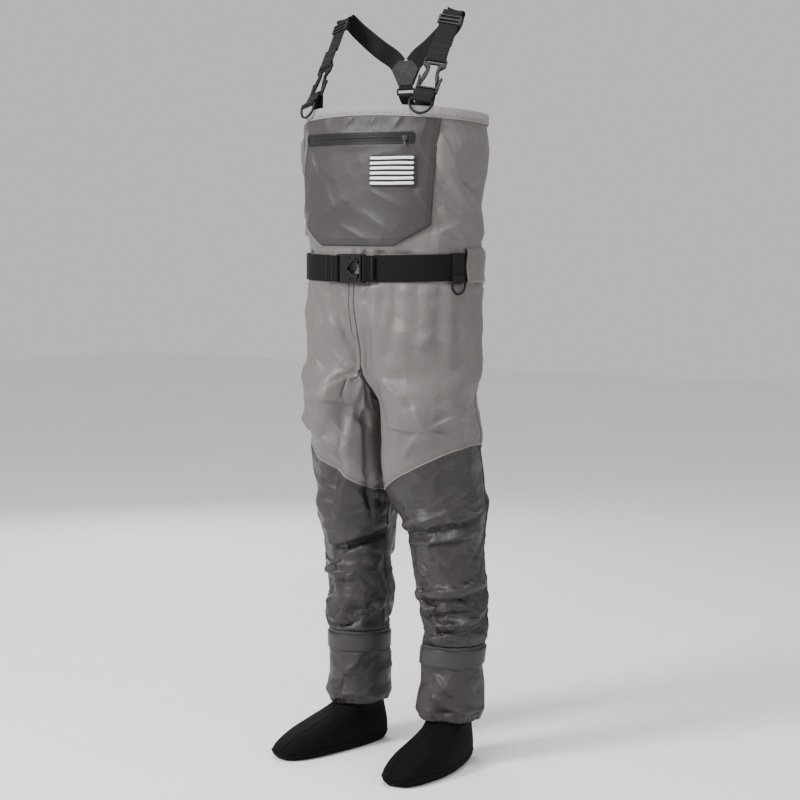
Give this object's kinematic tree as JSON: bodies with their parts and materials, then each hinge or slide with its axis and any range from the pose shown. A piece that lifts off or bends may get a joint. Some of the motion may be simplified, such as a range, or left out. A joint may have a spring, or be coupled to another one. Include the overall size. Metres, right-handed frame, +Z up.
{
  "type": "chest waders",
  "caption": "Stocking-foot fishing chest waders with a zipped bib pocket, buckled waist belt, Y-back suspenders, gravel guards and padded sock feet.",
  "frame": {"origin": "centre of the bounding box's bottom face, on the floor between the soles", "axes": "+Z up the garment, -Y the way the chest pocket faces, +X the wearer's left"},
  "size_m": [0.3948, 0.3305, 1.4398],
  "materials": {
    "shell_fabric": "semi-gloss coated nylon, light warm grey",
    "hem_fabric": "matte pale grey binding",
    "pocket_fabric": "coated nylon, mid dark grey",
    "leg_fabric": "semi-gloss coated nylon, dark grey",
    "band_fabric": "matte dark grey nylon",
    "yoke_fabric": "dark grey nylon patch",
    "elastic": "black gathered elastic",
    "neoprene": "black neoprene with fine knit face",
    "webbing": "black woven webbing",
    "buckle_plastic": "black moulded plastic, satin",
    "zip_surround": "black bonded film, satin",
    "zip_tape": "black laminated water-resistant tape, glossy",
    "zip_chain": "black reverse coil",
    "zip_metal": "black enamel",
    "foam_base": "black closed-cell foam",
    "foam_rib": "white ribbed foam, matte"
  },
  "bodies": {
    "garment": {"back_strap": "webbing", "belt_buckle_female": "buckle_plastic", "belt_fixed_loop": "webbing", "bib_shell": "shell_fabric", "chest_pocket": "pocket_fabric", "fly_patch_base": "foam_base", "fly_patch_rib_1": "foam_rib", "fly_patch_rib_2": "foam_rib", "fly_patch_rib_3": "foam_rib", "fly_patch_rib_4": "foam_rib", "fly_patch_rib_5": "foam_rib", "fly_patch_rib_6": "foam_rib", "left_ankle_liner": "leg_fabric", "left_belt_loop": "shell_fabric", "left_buckle_female": "buckle_plastic", "left_gaiter_band": "band_fabric", "left_gravel_guard": "leg_fabric", "left_guard_elastic": "elastic", "left_hem_tab": "webbing", "left_hip_panel": "shell_fabric", "left_lower_leg": "leg_fabric", "left_shoulder_strap": "webbing", "left_stocking_foot": "neoprene", "right_ankle_liner": "leg_fabric", "right_belt_loop": "shell_fabric", "right_buckle_female": "buckle_plastic", "right_gaiter_band": "band_fabric", "right_gravel_guard": "leg_fabric", "right_guard_elastic": "elastic", "right_hem_tab": "webbing", "right_hip_panel": "shell_fabric", "right_lower_leg": "leg_fabric", "right_shoulder_strap": "webbing", "right_stocking_foot": "neoprene", "side_ring_loop": "webbing", "top_hem": "hem_fabric", "wading_belt": "webbing", "yoke_back": "yoke_fabric", "yoke_front": "yoke_fabric", "yoke_ring": "buckle_plastic", "yoke_tab": "webbing", "zip_chain": "zip_chain", "zip_surround": "zip_surround", "zip_tape_lower": "zip_tape", "zip_tape_upper": "zip_tape"},
    "left_male": {"left_buckle_male": "buckle_plastic", "left_strap_end_loop": "webbing"},
    "right_male": {"right_buckle_male": "buckle_plastic", "right_strap_end_loop": "webbing"},
    "left_adjuster": {"left_adjuster": "buckle_plastic"},
    "right_adjuster": {"right_adjuster": "buckle_plastic"},
    "belt_male": {"belt_buckle_male": "buckle_plastic", "belt_end_loop": "webbing"},
    "left_ring": {"left_d_ring": "buckle_plastic"},
    "right_ring": {"right_d_ring": "buckle_plastic"},
    "side_ring": {"side_ring": "buckle_plastic"},
    "zip_slider": {"zip_slider": "zip_metal"},
    "zip_pull": {"zip_pull_ring": "zip_metal", "zip_pull_tab": "zip_metal"}
  },
  "joints": [
    {"name": "left_buckle_slide", "type": "slide", "parent": "garment", "child": "left_male", "axis": [0, 0.5, 0.866], "range_m": [0, 0.025]},
    {"name": "right_buckle_slide", "type": "slide", "parent": "garment", "child": "right_male", "axis": [0, 0.5, 0.866], "range_m": [0, 0.025]},
    {"name": "left_adjuster_slide", "type": "slide", "parent": "garment", "child": "left_adjuster", "axis": [0, 0.5, 0.866], "range_m": [-0.012, 0.003]},
    {"name": "right_adjuster_slide", "type": "slide", "parent": "garment", "child": "right_adjuster", "axis": [0, 0.5, 0.866], "range_m": [-0.012, 0.003]},
    {"name": "belt_buckle_slide", "type": "slide", "parent": "garment", "child": "belt_male", "axis": [-1, 0, 0], "range_m": [0, 0.025]},
    {"name": "left_ring_hinge", "type": "hinge", "parent": "garment", "child": "left_ring", "pos_m": [0.12571, -0.04917, 1.25974], "axis": [-0.9363, -0.3042, 0.1756], "range_deg": [0, 95]},
    {"name": "right_ring_hinge", "type": "hinge", "parent": "garment", "child": "right_ring", "pos_m": [-0.13651, -0.04917, 1.25974], "axis": [-0.9363, 0.3042, -0.1756], "range_deg": [0, 95]},
    {"name": "side_ring_hinge", "type": "hinge", "parent": "garment", "child": "side_ring", "pos_m": [0.1727, 0.00527, 0.926], "axis": [-0.3634, -0.9316, 0], "range_deg": [0, 110]},
    {"name": "zip_slider_travel", "type": "hinge", "parent": "garment", "child": "zip_slider", "pos_m": [-0.0054, 0.22814, 1.191], "axis": [0, 0, 1], "range_deg": [-39.7, 0]},
    {"name": "zip_pull_hinge", "type": "hinge", "parent": "zip_slider", "child": "zip_pull", "pos_m": [0.1026, -0.07057, 1.191], "axis": [-0.9404, -0.34, 0], "range_deg": [0, 120]}
  ]
}
